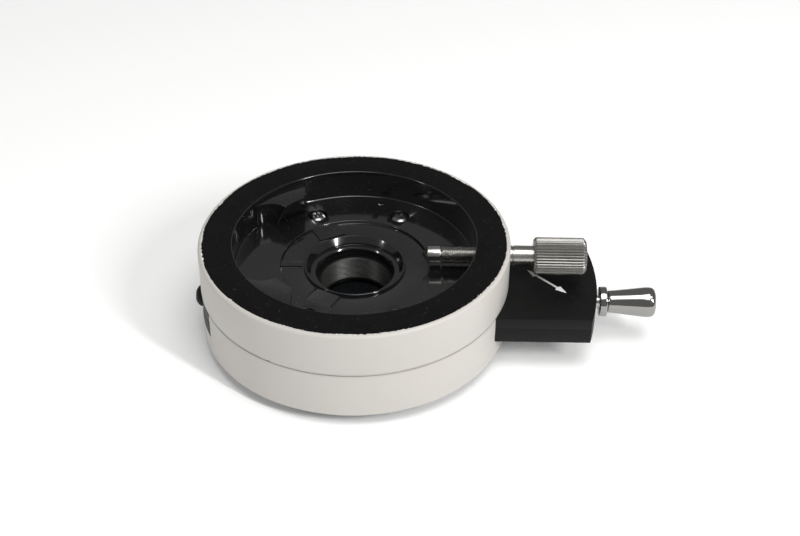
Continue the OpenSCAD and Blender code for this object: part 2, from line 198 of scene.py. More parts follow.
marks, marks_in, marks_out = new_group(
    "turning_marks", {"Along": 0.0, "Radius": 0.0, "Scale": 3000.0}, ["Tone", "Height"])
marks_place = node(marks, "ShaderNodeCombineXYZ", {
    "X": marks_in.outputs["Along"], "Y": marks_in.outputs["Radius"]})
marks_noise = node(marks, "ShaderNodeTexNoise", {
    "Vector": marks_place.outputs[0], "Scale": marks_in.outputs["Scale"],
    "Detail": 5.0, "Roughness": 0.7})
marks_wide = node(marks, "ShaderNodeMath", {0: marks_in.outputs["Scale"], 1: 0.12}, operation="MULTIPLY")
marks_band = node(marks, "ShaderNodeTexNoise", {
    "Vector": marks_place.outputs[0], "Scale": marks_wide.outputs[0], "Detail": 2.0})
marks.links.new(marks_band.outputs["Fac"], marks_out.inputs["Tone"])
marks.links.new(marks_noise.outputs["Fac"], marks_out.inputs["Height"])

dust, dust_in, dust_out = new_group(
    "dust", {"Place": (0, 0, 0), "Scale": 1500.0, "Cover": 0.72}, ["Mask"])
dust_noise = node(dust, "ShaderNodeTexNoise", {
    "Vector": dust_in.outputs["Place"], "Scale": dust_in.outputs["Scale"], "Detail": 1.0})
dust_edge = node(dust, "ShaderNodeMath", {0: dust_in.outputs["Cover"], 1: 0.05}, operation="ADD")
dust_mask = node(dust, "ShaderNodeMapRange", {
    "Value": dust_noise.outputs["Fac"], "From Min": dust_in.outputs["Cover"],
    "From Max": dust_edge.outputs[0]})
dust.links.new(dust_mask.outputs["Result"], dust_out.inputs["Mask"])

chips, chips_in, chips_out = new_group(
    "edge_chips", {"Place": (0, 0, 0), "Distance": 0.0, "Reach": 0.6 * MM, "Scale": 700.0}, ["Mask"])
chips_fine = node(chips, "ShaderNodeTexNoise", {
    "Vector": chips_in.outputs["Place"], "Scale": chips_in.outputs["Scale"],
    "Detail": 4.0, "Roughness": 0.65})
chips_wide_scale = node(chips, "ShaderNodeMath", {
    0: chips_in.outputs["Scale"], 1: 0.06}, operation="MULTIPLY")
chips_wide = node(chips, "ShaderNodeTexNoise", {
    "Vector": chips_in.outputs["Place"], "Scale": chips_wide_scale.outputs[0], "Detail": 1.0})
chips_both = node(chips, "ShaderNodeMath", {
    0: chips_wide.outputs["Fac"], 1: 0.8, 2: chips_fine.outputs["Fac"]}, operation="MULTIPLY_ADD")
chips_ratio = node(chips, "ShaderNodeMath", {
    0: chips_in.outputs["Distance"], 1: chips_in.outputs["Reach"]}, operation="DIVIDE")
chips_limit = node(chips, "ShaderNodeMath", {0: chips_ratio.outputs[0], 1: 0.22, 2: 0.862},
                   operation="MULTIPLY_ADD")
chips_over = node(chips, "ShaderNodeMath", {
    0: chips_both.outputs[0], 1: chips_limit.outputs[0]}, operation="SUBTRACT")
chips_mask = node(chips, "ShaderNodeMapRange", {
    "Value": chips_over.outputs[0], "From Min": 0.0, "From Max": 0.03})
chips.links.new(chips_mask.outputs["Result"], chips_out.inputs["Mask"])


def object_place(tree):
    """The surface's own coordinates, whole and split, and the distance from the light axis."""
    place = node(tree, "ShaderNodeTexCoord", {}).outputs["Object"]
    split = node(tree, "ShaderNodeSeparateXYZ", {0: place})
    flat = node(tree, "ShaderNodeCombineXYZ", {"X": split.outputs["X"], "Y": split.outputs["Y"]})
    radius = node(tree, "ShaderNodeVectorMath", {0: flat.outputs[0]}, operation="LENGTH")
    return place, split.outputs, radius.outputs["Value"]


def ramp(tree, value, low, high, out_low=0.0, out_high=1.0):
    """A value mapped from one range to another, clamped."""
    return node(tree, "ShaderNodeMapRange", {
        "Value": value, "From Min": low, "From Max": high,
        "To Min": out_low, "To Max": out_high}).outputs["Result"]


def blend(tree, factor, first, second):
    """A mix of two colours, each a plain colour or another node's output."""
    mix = tree.nodes.new("ShaderNodeMix")
    mix.data_type = "RGBA"
    for socket, value in ((mix.inputs[0], factor), (mix.inputs[6], first), (mix.inputs[7], second)):
        if isinstance(value, bpy.types.NodeSocket):
            tree.links.new(value, socket)
        else:
            socket.default_value = value
    return mix.outputs[2]


def bump(tree, shader, height, distance, strength=1.0):
    """Feeds a height to the shader's normal."""
    made = node(tree, "ShaderNodeBump", {"Height": height, "Distance": distance, "Strength": strength})
    tree.links.new(made.outputs["Normal"], shader.inputs["Normal"])


# ---- Lower ring --------------------------------------------------------------------------
# A turned aluminium ring in white stoved enamel, slotted from side to side for the housing
# bar. Its edges are broken with small rounds, and the paint carries a faint orange peel.
def rounded(corners, steps=6):
    """Corners (r, z, fillet, paint) as a path of (r, z, paint), each fillet a true arc."""
    path = []
    for i, (r, z, fillet, paint) in enumerate(corners):
        if not fillet:
            path.append((r, z, paint))
            continue
        here = Vector((r, z))
        back = (Vector(corners[i - 1][:2]) - here).normalized()
        ahead = (Vector(corners[(i + 1) % len(corners)][:2]) - here).normalized()
        half = back.angle(ahead) / 2
        centre = here + (back + ahead).normalized() * (fillet / math.sin(half))
        arm = here + back * (fillet / math.tan(half)) - centre
        end = here + ahead * (fillet / math.tan(half)) - centre
        sweep_angle = math.atan2(arm.x * end.y - arm.y * end.x, arm.dot(end))
        for k in range(steps + 1):
            c, s = math.cos(sweep_angle * k / steps), math.sin(sweep_angle * k / steps)
            path.append((centre.x + arm.x * c - arm.y * s, centre.y + arm.x * s + arm.y * c, paint))
    return path


crease, bevelled_crease = math.radians(38), math.radians(42)


def new_piece(name, mesh):
    """An object made from a bmesh, with its faces turned outwards."""
    bmesh.ops.remove_doubles(mesh, verts=mesh.verts, dist=0.0005 * MM)
    bmesh.ops.recalc_face_normals(mesh, faces=mesh.faces)
    data = bpy.data.meshes.new(name)
    mesh.to_mesh(data)
    mesh.free()
    data.set_sharp_from_angle(angle=crease)
    piece = bpy.data.objects.new(name, data)
    stage.collection.objects.link(piece)
    return piece


def turned(name, corners, segments=256, along_x=False, at=(0, 0, 0)):
    """A solid of revolution in millimetres about Z, or about X, from its profile's corners."""
    path = rounded(corners)
    mesh = bmesh.new()
    rings = []
    for r, z, paint in path:
        count = segments if r > 1e-6 else 1
        angles = [2 * math.pi * j / segments for j in range(count)]
        rings.append([mesh.verts.new((r * math.cos(a), r * math.sin(a), z)) for a in angles])
    is_ring = path[0][0] > 1e-6
    for i in range(len(path) if is_ring else len(path) - 1):
        low, high = rings[i], rings[(i + 1) % len(path)]
        for j in range(segments):
            k = j + 1
            loop = (low[j % len(low)], low[k % len(low)], high[k % len(high)], high[j % len(high)])
            face = mesh.faces.new(dict.fromkeys(loop))
            face.material_index = path[i][2]
            face.smooth = True
    axis = Matrix(((0, 0, 1), (1, 0, 0), (0, 1, 0))).to_4x4() if along_x else Matrix.Identity(4)
    place = Matrix.Scale(MM, 4) @ Matrix.Translation(at) @ axis
    bmesh.ops.transform(mesh, matrix=place, verts=mesh.verts)
    return new_piece(name, mesh)


def add_rod(mesh, radius, start, end, segments=64):
    """Adds a closed cylinder between two points, in millimetres."""
    start, end = Vector(start) * MM, Vector(end) * MM
    along = end - start
    turn_to = along.to_track_quat("Z", "Y").to_matrix().to_4x4()
    bmesh.ops.create_cone(
        mesh, cap_ends=True, segments=segments, radius1=radius * MM, radius2=radius * MM,
        depth=along.length, matrix=Matrix.Translation((start + end) / 2) @ turn_to)


def add_block(mesh, low, high, turn_z=0):
    """Adds a closed box between two corners, in millimetres, turned about the light axis."""
    low, high = Vector(low) * MM, Vector(high) * MM
    size = Matrix.Diagonal((high - low).to_4d())
    size[3][3] = 1
    bmesh.ops.create_cube(mesh, size=1, matrix=Matrix.Rotation(math.radians(turn_z), 4, "Z")
                          @ Matrix.Translation((low + high) / 2) @ size)


def settle(piece):
    """Turns a piece's modifiers into its mesh."""
    graph = bpy.context.evaluated_depsgraph_get()
    mesh = bpy.data.meshes.new_from_object(
        piece.evaluated_get(graph), preserve_all_data_layers=True, depsgraph=graph)
    piece.modifiers.clear()
    old, piece.data = piece.data, mesh
    bpy.data.meshes.remove(old)


def shape(piece, tool_mesh, finish, operation="DIFFERENCE"):
    """Cuts the tool's solids from a piece, or joins them to it, and finishes the new faces."""
    tool = new_piece("tool", tool_mesh)
    tool.data.materials.append(finish)
    change = piece.modifiers.new("shape", "BOOLEAN")
    change.operation, change.solver, change.object = operation, "EXACT", tool
    change.material_mode = "TRANSFER"
    settle(piece)
    bpy.data.objects.remove(tool)


def break_edges(piece, width, angle=38):
    """Rounds every sharp edge as a deburring tool does, and smooths the rest."""
    edge = piece.modifiers.new("edges", "BEVEL")
    edge.width, edge.segments = width * MM, 2
    edge.limit_method, edge.angle_limit = "ANGLE", math.radians(angle)
    settle(piece)
    for face in piece.data.polygons:
        face.use_smooth = True
    piece.data.set_sharp_from_angle(angle=bevelled_crease)


def add_finishes(piece, *finishes):
    """Gives a piece its finishes, in the order of its paint numbers."""
    for finish in finishes:
        piece.data.materials.append(finish)


def mount(piece, body, slot, *replaced):
    """Puts a finished piece on its body, in place of the CAD nodes that it details."""
    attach(piece, body)
    if replaced:
        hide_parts(*replaced)


# White stoved enamel: glossy, faintly uneven, a little grey where dirt sits in the joint.
enamel, tree, shader = new_material("white_enamel", {"Specular IOR Level": 0.35})
place, split, radius = object_place(tree)
peel = use_group(tree, grain, {"Place": place, "Scale": 420.0})
cloud = use_group(tree, grain, {"Place": place, "Scale": 45.0})
joint_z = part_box("lower_ring")[1].z
from_joint = node(tree, "ShaderNodeMath", {0: split["Z"], 1: joint_z}, operation="SUBTRACT")
near_joint = node(tree, "ShaderNodeMath", {0: from_joint.outputs[0]}, operation="ABSOLUTE")
grime = node(tree, "ShaderNodeMath", {
    0: ramp(tree, near_joint.outputs[0], 0.0, 0.9 * MM, 0.55, 0.0),
    1: cloud.outputs["Height"]}, operation="MULTIPLY")
tone = blend(tree, cloud.outputs["Tone"], (0.525, 0.503, 0.471, 1), (0.552, 0.530, 0.496, 1))
tree.links.new(blend(tree, grime.outputs[0], tone, (0.20, 0.19, 0.17, 1)), shader.inputs["Base Color"])
tree.links.new(ramp(tree, cloud.outputs["Tone"], 0.3, 0.7, 0.40, 0.46), shader.inputs["Roughness"])
bump(tree, shader, peel.outputs["Height"], 0.02 * MM, 0.5)

# Gloss black enamel inside: deep, smooth, with smears and a little dust.
gloss_black, tree, shader = new_material("black_gloss", {"Coat Weight": 0.5, "Coat Roughness": 0.04})
place, split, radius = object_place(tree)
smear = use_group(tree, grain, {"Place": place, "Scale": 90.0})
specks = use_group(tree, dust, {"Place": place, "Scale": 2400.0, "Cover": 0.735})
body_tone = blend(tree, smear.outputs["Tone"], (0.004, 0.004, 0.004, 1), (0.008, 0.008, 0.008, 1))
tree.links.new(blend(tree, specks.outputs["Mask"], body_tone, (0.10, 0.10, 0.095, 1)),
               shader.inputs["Base Color"])
tree.links.new(ramp(tree, smear.outputs["Tone"], 0.3, 0.72, 0.07, 0.20), shader.inputs["Roughness"])
bump(tree, shader, smear.outputs["Height"], 0.03 * MM, 0.25)

ring_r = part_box("lower_ring")[1].x / MM
split_h = joint_z / MM
exit_r, spigot_r, spigot_h = 12, 24, 3
joint_gap, joint_depth = 0.16, 0.9
lower_ring = turned("lower_ring_turned", [
    (spigot_r, 0, 0.2, 1), (ring_r - 0.5, 0, 0, 0), (ring_r, 0, 0.35, 0),
    (ring_r, split_h - joint_gap, 0.22, 0), (ring_r - joint_depth, split_h - joint_gap, 0, 1),
    (ring_r - joint_depth, split_h, 0, 1), (exit_r, split_h, 0, 1), (exit_r, spigot_h, 0, 1),
    (spigot_r, spigot_h, 0, 1)], segments=384)
bar_low, bar_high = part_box("housing_base")[0] / MM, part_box("housing_cover")[1] / MM
slot_tool = bmesh.new()
add_block(slot_tool, (-ring_r - 2, bar_low.y, bar_low.z), (ring_r + 2, bar_high.y, split_h + 2))
add_finishes(lower_ring, enamel, gloss_black)
shape(lower_ring, slot_tool, gloss_black)
cell_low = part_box("polariser_cell")[0] / MM
cell_path_r, cell_path_end, well_gap = 12.5, 40.5, 0.4
well_tool = bmesh.new()
add_block(well_tool, (-cell_path_r, -cell_path_r, cell_low.z - well_gap),
          (cell_path_end, cell_path_r, bar_low.z + 1))
shape(lower_ring, well_tool, gloss_black)
break_edges(lower_ring, 0.18)
mount(lower_ring, "ring_body", "white_enamel", "lower_ring")


# ---- Upper ring --------------------------------------------------------------------------
# The socket ring: white enamel outside, a black top face that the tube head rubs bright at
# its rim, and a glossy black socket with a lowered middle, three low webs and screw seats.
# A knock has left one small nick in its lower edge.
# Satin black top: fine scratches, dust, and chips along the rim that show bright metal.
seat_black, tree, shader = new_material("seat_black", {"Specular IOR Level": 0.08})
place, split, radius = object_place(tree)
rim_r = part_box("upper_ring")[1].x
from_rim = node(tree, "ShaderNodeMath", {0: rim_r - 1.15 * MM, 1: radius}, operation="SUBTRACT")
worn = use_group(tree, chips, {
    "Place": place, "Distance": from_rim.outputs[0], "Reach": 0.45 * MM, "Scale": 1100.0})
haze = use_group(tree, grain, {"Place": place, "Scale": 260.0})
specks = use_group(tree, dust, {"Place": place, "Scale": 2200.0, "Cover": 0.725})
rings = use_group(tree, marks, {"Along": split["Z"], "Radius": radius, "Scale": 1400.0})
base_tone = blend(tree, haze.outputs["Tone"], (0.003, 0.003, 0.003, 1), (0.006, 0.006, 0.006, 1))
dusted = blend(tree, specks.outputs["Mask"], base_tone, (0.11, 0.11, 0.105, 1))
tree.links.new(blend(tree, worn.outputs["Mask"], dusted, (0.80, 0.79, 0.76, 1)), shader.inputs["Base Color"])
tree.links.new(ramp(tree, haze.outputs["Tone"], 0.3, 0.7, 0.30, 0.42), shader.inputs["Roughness"])
relief = node(tree, "ShaderNodeMath", {
    0: rings.outputs["Height"], 1: 0.5, 2: haze.outputs["Height"]}, operation="MULTIPLY_ADD")
bump(tree, shader, relief.outputs[0], 0.02 * MM, 0.4)

socket_r, socket_floor, step_floor = 39, 21, 20
bush_r, bush_shoulder_r, bush_shoulder_h = 16.4, 18.2, 1.6
upper_top = seat_top / MM
upper_ring = turned("upper_ring_turned", [
    (bush_shoulder_r, split_h, 0, 2), (ring_r - 0.6, split_h, 0, 0), (ring_r, split_h, 0.3, 0),
    (ring_r, upper_top, 1.05, 0), (ring_r - 1.15, upper_top, 0, 1), (socket_r, upper_top, 0.35, 2),
    (socket_r, socket_floor, 0.5, 2), (24.2, socket_floor, 0.25, 2), (23.8, step_floor, 0.25, 2),
    (bush_r, step_floor, 0, 2), (bush_r, split_h + bush_shoulder_h, 0, 2),
    (bush_shoulder_r, split_h + bush_shoulder_h, 0, 2)], segments=384)
add_finishes(upper_ring, enamel, seat_black, gloss_black)
web_tool = bmesh.new()
for angle, width in ((118, 9), (180, 3), (242, 9)):
    add_block(web_tool, (17, -width / 2, 18.5), (24.6, width / 2, step_floor + 0.5), angle)
shape(upper_ring, web_tool, gloss_black, "UNION")

screw_x, screw_y, screw_bore_r, head_seat_r, head_seat_depth = 14, 27, 1.6, 3.3, 1.4
pin_circle_r, pin_r, cut_top = 35.3, 1.25, 25
clamp_z = ((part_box("thumbscrew")[0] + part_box("thumbscrew")[1]) / 2).z / MM
bore_tool, seat_tool = bmesh.new(), bmesh.new()
for sx in (-1, 1):
    for sy in (-1, 1):
        x, y = sx * screw_x, sy * screw_y
        add_rod(bore_tool, screw_bore_r, (x, y, split_h - 1), (x, y, cut_top))
        add_rod(seat_tool, head_seat_r, (x, y, socket_floor - head_seat_depth), (x, y, cut_top))
for pin_angle in (78, 258):
    px = pin_circle_r * math.cos(math.radians(pin_angle))
    py = pin_circle_r * math.sin(math.radians(pin_angle))
    add_rod(bore_tool, pin_r, (px, py, split_h - 1), (px, py, cut_top))
tapped_r, neck_seat_r, neck_seat_depth = 3.06, 3.45, 7.8
add_rod(bore_tool, tapped_r, (socket_r - 3, 0, clamp_z), (ring_r + 3, 0, clamp_z))
shape(upper_ring, bore_tool, gloss_black)
shape(upper_ring, seat_tool, gloss_black)
neck_tool = bmesh.new()
add_rod(neck_tool, neck_seat_r, (ring_r - neck_seat_depth, 0, clamp_z), (ring_r + 3, 0, clamp_z))
shape(upper_ring, neck_tool, gloss_black)
nick_turn, nick_r = math.radians(-119), 0.4
nick_x, nick_y = math.cos(nick_turn), math.sin(nick_turn)
nick_tool = bmesh.new()
add_rod(nick_tool, nick_r, ((ring_r - nick_r) * nick_x, (ring_r - nick_r) * nick_y, split_h + 0.1),
        ((ring_r + 1) * nick_x, (ring_r + 1) * nick_y, split_h + 0.1), 10)
shape(upper_ring, nick_tool, gloss_black)
break_edges(upper_ring, 0.2)
mount(upper_ring, "ring_body", "white_enamel", "upper_ring")


# ---- Centre ring -------------------------------------------------------------------------
# A stepped bush turned in black anodised aluminium and pressed into the socket floor. The
# steep polished cone at its mouth catches two bright glints, one from each strip light.
throat_r, step_r, mouth_r, bush_top, cone_foot, throat_top = 12.5, 14.4, 15.8, 20.6, 18.65, 18.0
centre_ring = turned("centre_ring_turned", [
    (throat_r, split_h, 0, 0), (bush_shoulder_r, split_h, 0, 0),
    (bush_shoulder_r, split_h + bush_shoulder_h, 0, 0), (bush_r, split_h + bush_shoulder_h, 0, 0),
    (bush_r, bush_top, 0.25, 0), (mouth_r, bush_top, 0.1, 0), (step_r, cone_foot, 0.15, 0),
    (step_r, throat_top, 0.12, 0), (throat_r + 0.4, throat_top, 0.1, 0),
    (throat_r, throat_top - 0.5, 0.15, 0)], segments=192)
add_finishes(centre_ring, gloss_black)
mount(centre_ring, "ring_body", "black_gloss", "centre_ring")


# ---- Dovetail jaws -----------------------------------------------------------------------
# Two hard black jaws on the socket floor, a mirror pair. Each has an undercut face towards
# the middle, a flat end, and an end scooped out by a round cutter.
wall_r, top_r, floor_r = socket_r - 0.02, 30.6, 34.2
jaw_top, flat_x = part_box("jaw_left")[1].z / MM, -18.0
scoop, scoop_r = Vector((-28.5, 13.5)), 7.6
end_turn = math.radians(150.2)


def scoop_angle(reach_r):
    """The angle on the scoop's circle where it crosses a circle about the light axis."""
    d = scoop.length
    opening = math.acos((d * d + scoop_r ** 2 - reach_r ** 2) / (2 * d * scoop_r))
    return math.atan2(-scoop.y, -scoop.x) + opening


def arc(centre, r, first, last, count):
    """Points along an arc between two angles."""
    angles = [first + (last - first) * k / (count - 1) for k in range(count)]
    return [(centre.x + r * math.cos(a), centre.y + r * math.sin(a)) for a in angles]


def jaw_outline(face_r):
    """The jaw's plan at a height where its face has that radius."""
    inner_turn = scoop_angle(face_r)
    start = scoop + scoop_r * Vector((math.cos(inner_turn), math.sin(inner_turn)))
    ray = Vector((math.cos(end_turn), math.sin(end_turn)))
    along = scoop.dot(ray)
    tail = ray * (along + math.sqrt(scoop_r ** 2 - scoop.length_squared + along ** 2)) - scoop
    outer_turn = math.atan2(tail.y, tail.x)
    axis = Vector((0, 0))
    face = arc(axis, face_r, math.atan2(start.y, start.x), math.acos(flat_x / face_r), 20)
    wall = arc(axis, wall_r, math.acos(flat_x / wall_r), end_turn, 28)
    scooped = arc(scoop, scoop_r, outer_turn, inner_turn, 24)
    return face + wall + scooped[:-1]


for name, mirror in (("jaw_left", 1), ("jaw_right", -1)):
    mesh = bmesh.new()
    levels = [[mesh.verts.new((x * MM, mirror * y * MM, z * MM)) for x, y in jaw_outline(r)]
              for r, z in ((floor_r, socket_floor), (top_r, jaw_top))]
    low, high = levels
    for i in range(len(low)):
        k = (i + 1) % len(low)
        mesh.faces.new((low[i], low[k], high[k], high[i]))
    mesh.faces.new(low)
    mesh.faces.new(high)
    jaw = new_piece(name + "_milled", mesh)
    break_edges(jaw, 0.28, 30)
    add_finishes(jaw, gloss_black)
    mount(jaw, "ring_body", "black_gloss", name)


# ---- Metal finishes ----------------------------------------------------------------------
# Bright turned stainless, polished chrome, satin bronze and bare aluminium. Each shows the
# rings that the lathe tool left, followed along the piece's own axis.
def turned_metal(name, colour, roughness, marks_scale, depth, axis=None, shade=0.82):
    """A metal with turning marks about X through axis (y, z) in metres, or about Z."""
    material, tree, shader = new_material(name, {"Metallic": 1.0})
    place, split, radius = object_place(tree)
    along = split["Z"]
    if axis:
        centred = node(tree, "ShaderNodeMapping", {
            "Vector": place, "Location": (0, -axis[0], -axis[1])})
        parts = node(tree, "ShaderNodeSeparateXYZ", {0: centred.outputs[0]})
        across = node(tree, "ShaderNodeCombineXYZ", {"X": parts.outputs["Y"], "Y": parts.outputs["Z"]})
        radius = node(tree, "ShaderNodeVectorMath", {0: across.outputs[0]},
                      operation="LENGTH").outputs["Value"]
        along = parts.outputs["X"]
    lines = use_group(tree, marks, {"Along": along, "Radius": radius, "Scale": marks_scale})
    stain = use_group(tree, grain, {"Place": place, "Scale": 160.0})
    dull = tuple(c * shade for c in colour) + (1,)
    tree.links.new(blend(tree, stain.outputs["Tone"], dull, colour + (1,)), shader.inputs["Base Color"])
    both = node(tree, "ShaderNodeMath", {
        0: lines.outputs["Tone"], 1: 0.5, 2: stain.outputs["Tone"]}, operation="MULTIPLY_ADD")
    tree.links.new(ramp(tree, both.outputs[0], 0.4, 1.1, roughness * 0.75, roughness * 1.35),
                   shader.inputs["Roughness"])
    bump(tree, shader, lines.outputs["Height"], depth * MM, 0.5)
    return material


clamp_axis = (0.0, clamp_z * MM)
rod_middle = (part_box("pull_rod")[0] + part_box("pull_rod")[1]) / 2
rod_axis = (rod_middle.y, rod_middle.z)
stainless = turned_metal("stainless", (0.44, 0.43, 0.41), 0.24, 2600.0, 0.012, clamp_axis)
knurled_steel = turned_metal("knurled_steel", (0.29, 0.282, 0.265), 0.34, 1500.0, 0.02, clamp_axis)
chrome = turned_metal("polished_chrome", (0.34, 0.335, 0.325), 0.10, 1800.0, 0.004, rod_axis, 0.9)
rod_steel = turned_metal("rod_steel", (0.60, 0.60, 0.59), 0.26, 2600.0, 0.01, rod_axis)
plain_steel = turned_metal("plain_steel", (0.62, 0.61, 0.59), 0.26, 2000.0, 0.01)
bronze = turned_metal("bronze", (0.62, 0.42, 0.20), 0.32, 2400.0, 0.01, rod_axis)
aluminium = turned_metal("bare_aluminium", (0.72, 0.72, 0.73), 0.30, 1600.0, 0.02)


# ---- Cross-head screws -------------------------------------------------------------------
# Four pan-head screws in seats hold the rings together, and four countersunk ones hold the
# foot. One head is made of each kind, and set at the corners of its rectangle.
def new_maker(name, wanted):
    """A Geometry Nodes tree whose named inputs are given as {name: (kind, value)}."""
    tree = bpy.data.node_groups.new(name, "GeometryNodeTree")
    face = tree.interface
    face.new_socket(name="Geometry", in_out="INPUT", socket_type="NodeSocketGeometry")
    keys = {title: face.new_socket(name=title, in_out="INPUT",
                                   socket_type="NodeSocket" + kind).identifier
            for title, (kind, value) in wanted.items()}
    face.new_socket(name="Geometry", in_out="OUTPUT", socket_type="NodeSocketGeometry")
    return tree, tree.nodes.new("NodeGroupInput").outputs, keys


def run_maker(piece, tree, given, keys, wanted, made):
    """Realises and finishes what a tree makes, and puts it in the piece's mesh."""
    solid = node(tree, "GeometryNodeRealizeInstances", {"Geometry": made})
    coated = node(tree, "GeometryNodeSetMaterial", {
        "Geometry": solid.outputs["Geometry"], "Material": given["Finish"]})
    tree.links.new(coated.outputs["Geometry"], tree.nodes.new("NodeGroupOutput").inputs["Geometry"])
    maker = piece.modifiers.new("maker", "NODES")
    maker.node_group = tree
    for title, (kind, value) in wanted.items():
        maker[keys[title]] = value
    settle(piece)


def set_of_screws(name, head, finish, width, depth, z, seed, body, slot, replaced):
    """Sets a screw at the four corners of a rectangle, each turned its own way."""
    wanted = {"Screw": ("Object", head), "Width": ("Float", width * MM),
              "Depth": ("Float", depth * MM), "Height": ("Float", z * MM),
              "Seed": ("Int", seed), "Finish": ("Material", finish)}
    tree, given, keys = new_maker(name, wanted)
    grid = node(tree, "GeometryNodeMeshGrid", {
        "Size X": given["Width"], "Size Y": given["Depth"], "Vertices X": 2, "Vertices Y": 2})
    lift = node(tree, "ShaderNodeCombineXYZ", {"Z": given["Height"]})
    corners = node(tree, "GeometryNodeTransform", {
        "Geometry": grid.outputs["Mesh"], "Translation": lift.outputs[0]})
    info = node(tree, "GeometryNodeObjectInfo", {"Object": given["Screw"]})
    spin = node(tree, "FunctionNodeRandomValue", {2: 0.0, 3: 2 * math.pi, "Seed": given["Seed"]})
    turn_z = node(tree, "ShaderNodeCombineXYZ", {"Z": spin.outputs[1]})
    copies = node(tree, "GeometryNodeInstanceOnPoints", {
        "Points": corners.outputs["Geometry"], "Instance": info.outputs["Geometry"],
        "Rotation": turn_z.outputs[0]})
    piece = bpy.data.objects.new(name, bpy.data.meshes.new(name))
    stage.collection.objects.link(piece)
    run_maker(piece, tree, given, keys, wanted, copies.outputs["Instances"])
    bpy.data.objects.remove(head)
    mount(piece, body, slot, replaced)


def cut_cross(head, finish, half_length, half_width, z, depth, taper=0.6):
    """Cuts a tapered cross recess down into a head whose top is at z."""
    for cross_turn in (0, 90):
        tool = bmesh.new()
        add_block(tool, (-half_length, -half_width, z - depth), (half_length, half_width, z + 1), cross_turn)
        for corner in tool.verts:
            if corner.co.z < (z - depth / 2) * MM:
                corner.co.x *= taper
                corner.co.y *= taper
        shape(head, tool, finish)


head_steel = turned_metal("head_steel", (0.30, 0.295, 0.285), 0.22, 900.0, 0.01)
pan_head = turned("pan_head", [
    (0, -13, 0, 0), (1.5, -13, 0.3, 0), (1.5, 0, 0, 0), (2.9, 0, 0.1, 0), (2.9, 0.9, 0.3, 0),
    (2.0, 1.5, 1.2, 0), (0, 1.65, 0, 0)], segments=64)
add_finishes(pan_head, head_steel)
# The pan heads' cross recess is lined with gloss black as painted shade in its depth.
cut_cross(pan_head, gloss_black, 1.75, 0.42, 1.65, 1.1)
break_edges(pan_head, 0.07, 35)
set_of_screws("floor_screw_set", pan_head, head_steel, 2 * screw_x, 2 * screw_y,
              socket_floor - head_seat_depth, 4, "ring_body", "polished_chrome", "floor_screws")

flat_head = turned("flat_head", [
    (0, -8, 0, 0), (1.25, -8, 0.2, 0), (1.25, -1.4, 0, 0), (2.35, -0.06, 0, 0), (2.25, 0, 0, 0),
    (0, 0, 0, 0)], segments=48)
add_finishes(flat_head, head_steel)
cut_cross(flat_head, head_steel, 1.5, 0.3, 0, 0.7)
flat_head.data.transform(Matrix.Rotation(math.pi, 4, "X"))
foot_screw_x = 18.5
set_of_screws("foot_screw_set", flat_head, head_steel, 2 * foot_screw_x, 2 * foot_screw_x, floor_z / MM, 7,
              "ring_body", "stainless", "foot_screws")


# ---- Foot flange -------------------------------------------------------------------------
# The dovetail foot, turned in bare aluminium and held up into the lower ring by its screws.
# It is the only part that touches the stand or the table.
foot_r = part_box("foot_flange")[1].x / MM
foot_low = floor_z / MM
foot = turned("foot_flange_turned", [
    (exit_r, foot_low, 0.25, 0), (foot_r, foot_low, 0.3, 0), (foot_r, foot_low + 2.0, 0.15, 0),
    (foot_r - 1.8, -0.4, 0.1, 0), (foot_r - 1.8, 0, 0, 0), (spigot_r, 0, 0, 0),
    (spigot_r, spigot_h, 0, 0), (exit_r, spigot_h, 0, 0)], segments=256)
sink_tool = bmesh.new()
for sx in (-foot_screw_x, foot_screw_x):
    for sy in (-foot_screw_x, foot_screw_x):
        add_rod(sink_tool, 2.5, (sx, sy, foot_low - 1), (sx, sy, foot_low + 1.0), 48)
add_finishes(foot, aluminium)
shape(foot, sink_tool, aluminium)
break_edges(foot, 0.1)
mount(foot, "ring_body", "bare_aluminium", "foot_flange")


# ---- Housing bar -------------------------------------------------------------------------
# A flat black bar through the rings, round at both ends, that the slider runs in. It is a
# base and a screwed cover, so a fine seam runs along its side. The cover's arrow is engraved.
# Bead-blasted black anodising: even, dull, with faint handling marks.
anodised, tree, shader = new_material("black_satin", {"Specular IOR Level": 0.16})
place, split, radius = object_place(tree)
blast = use_group(tree, grain, {"Place": place, "Scale": 1700.0})
wipe = use_group(tree, grain, {"Place": place, "Scale": 55.0})
specks = use_group(tree, dust, {"Place": place, "Scale": 2000.0, "Cover": 0.74})
base_tone = blend(tree, wipe.outputs["Tone"], (0.003, 0.003, 0.003, 1), (0.007, 0.007, 0.0068, 1))
tree.links.new(blend(tree, specks.outputs["Mask"], base_tone, (0.06, 0.06, 0.055, 1)),
               shader.inputs["Base Color"])
tree.links.new(ramp(tree, wipe.outputs["Tone"], 0.3, 0.7, 0.40, 0.56), shader.inputs["Roughness"])
bump(tree, shader, blast.outputs["Height"], 0.02 * MM, 0.6)

# White filling paint, rubbed flush in the engraving.
filling, tree, shader = new_material("white_fill", {})
place, split, radius = object_place(tree)
patchy = use_group(tree, grain, {"Place": place, "Scale": 700.0})
tree.links.new(blend(tree, patchy.outputs["Tone"], (0.66, 0.66, 0.64, 1), (0.88, 0.88, 0.86, 1)),
               shader.inputs["Base Color"])
tree.links.new(ramp(tree, patchy.outputs["Tone"], 0.3, 0.7, 0.45, 0.65), shader.inputs["Roughness"])
bump(tree, shader, patchy.outputs["Height"], 0.03 * MM, 0.5)

end_r, land_r = bar_high.x, ring_r - 0.1
seam_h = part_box("housing_base")[1].z / MM


